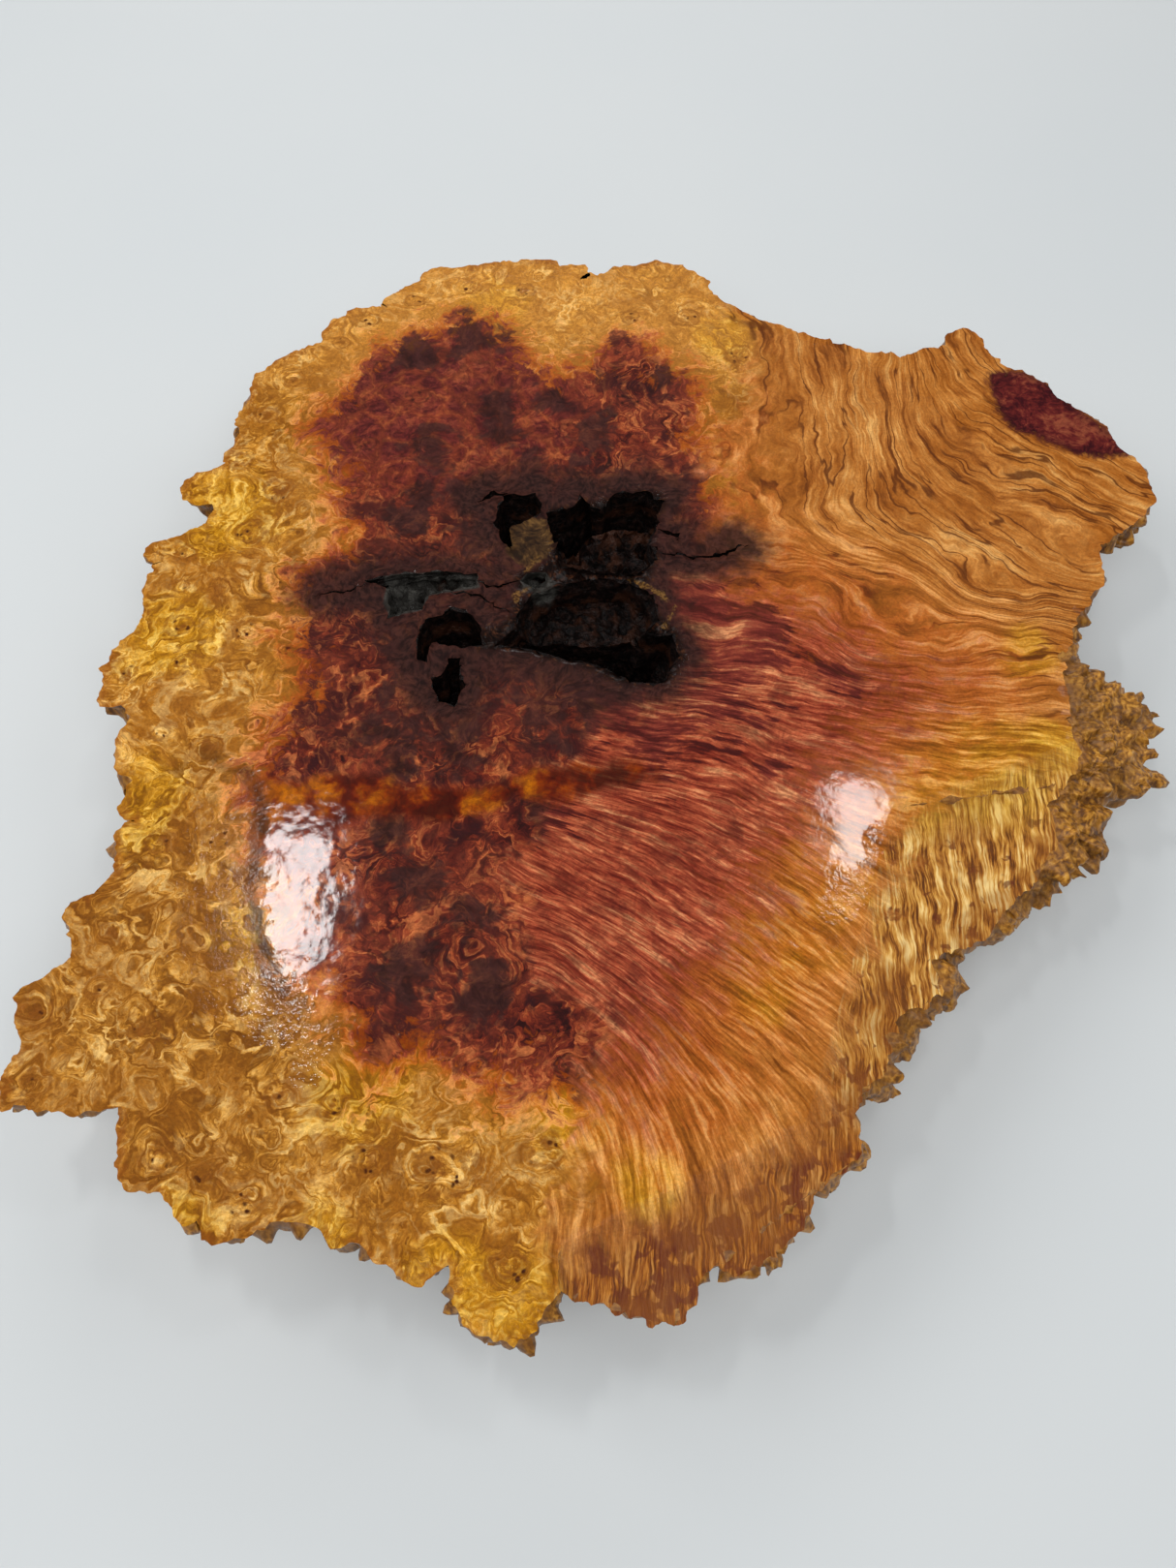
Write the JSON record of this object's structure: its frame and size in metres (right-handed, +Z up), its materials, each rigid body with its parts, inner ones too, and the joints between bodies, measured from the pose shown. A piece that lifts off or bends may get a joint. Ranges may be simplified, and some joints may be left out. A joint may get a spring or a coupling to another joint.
{
  "type": "mallee burl",
  "caption": "Sawn slab of a eucalyptus burl with a flat figured face, a rough-sawn sloping facet, rotted hollows in its red heart and a spiky live edge.",
  "frame": {"origin": "on the surface it rests on, under the centre of its bounding box", "axes": "+Z up out of the flat sawn face, +Y along its longest extent towards the broad end, +X towards the pointed shoulder"},
  "size_m": [0.5142, 0.5462, 0.06],
  "materials": {
    "burl_wood": "wet sawn burl, glossy face and drier spiky edge"
  },
  "bodies": {
    "root": {"mallee_burl": "burl_wood"}
  },
  "joints": []
}
